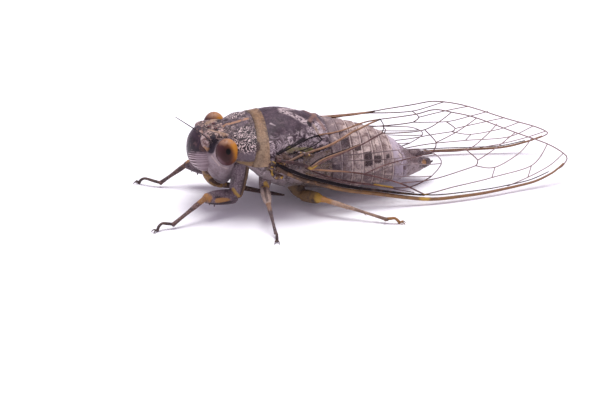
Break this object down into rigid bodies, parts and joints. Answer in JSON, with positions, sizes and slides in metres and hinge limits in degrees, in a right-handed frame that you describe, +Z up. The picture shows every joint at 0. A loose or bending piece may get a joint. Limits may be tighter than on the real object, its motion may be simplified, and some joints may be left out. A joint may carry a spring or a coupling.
{
  "type": "cicada model",
  "caption": "Life-size still model of a cicada at rest on its six legs, clear veined wings folded over its back like a roof.",
  "frame": {"origin": "middle of the footprint on the ground, under the body", "axes": "+Y towards the wing tips (the head faces -Y), +X to the insect's left, +Z up"},
  "size_m": [0.0294, 0.0592, 0.0141],
  "materials": {
    "dark_shell": "dark satin insect shell with pale scribbles and bloom",
    "olive_shell": "olive tan satin insect shell",
    "grey_shell": "grey insect shell with a waxy bloom",
    "brown_shell": "dark brown satin insect shell",
    "tan_shell": "tan satin insect shell",
    "striped_face": "glossy purple brown with pale cross stripes",
    "eye": "glossy brown and amber eye",
    "wing": "clear glossy membrane with brown and orange veins"
  },
  "bodies": {
    "root": {"pronotum": "dark_shell", "pronotal_collar": "olive_shell", "mesonotum": "dark_shell", "thorax": "grey_shell", "abdomen": "grey_shell", "abdomen_tip": "brown_shell", "head": "grey_shell", "eye_left": "eye", "eye_right": "eye", "postclypeus": "striped_face", "anteclypeus": "tan_shell", "rostrum": "brown_shell", "antenna_left": "brown_shell", "antenna_right": "brown_shell", "leg_front_left_coxa": "grey_shell", "leg_front_left_femur": "grey_shell", "leg_front_left_tibia": "brown_shell", "leg_front_left_tarsus": "brown_shell", "leg_front_right_coxa": "grey_shell", "leg_front_right_femur": "grey_shell", "leg_front_right_tibia": "brown_shell", "leg_front_right_tarsus": "brown_shell", "leg_middle_left_coxa": "grey_shell", "leg_middle_left_femur": "grey_shell", "leg_middle_left_tibia": "brown_shell", "leg_middle_left_tarsus": "brown_shell", "leg_middle_right_coxa": "grey_shell", "leg_middle_right_femur": "grey_shell", "leg_middle_right_tibia": "brown_shell", "leg_middle_right_tarsus": "brown_shell", "leg_hind_left_coxa": "grey_shell", "leg_hind_left_femur": "grey_shell", "leg_hind_left_tibia": "brown_shell", "leg_hind_left_tarsus": "brown_shell", "leg_hind_right_coxa": "grey_shell", "leg_hind_right_femur": "grey_shell", "leg_hind_right_tibia": "brown_shell", "leg_hind_right_tarsus": "brown_shell", "forewing_left": "wing", "forewing_right": "wing", "hindwing_left": "wing", "hindwing_right": "wing"}
  },
  "joints": []
}
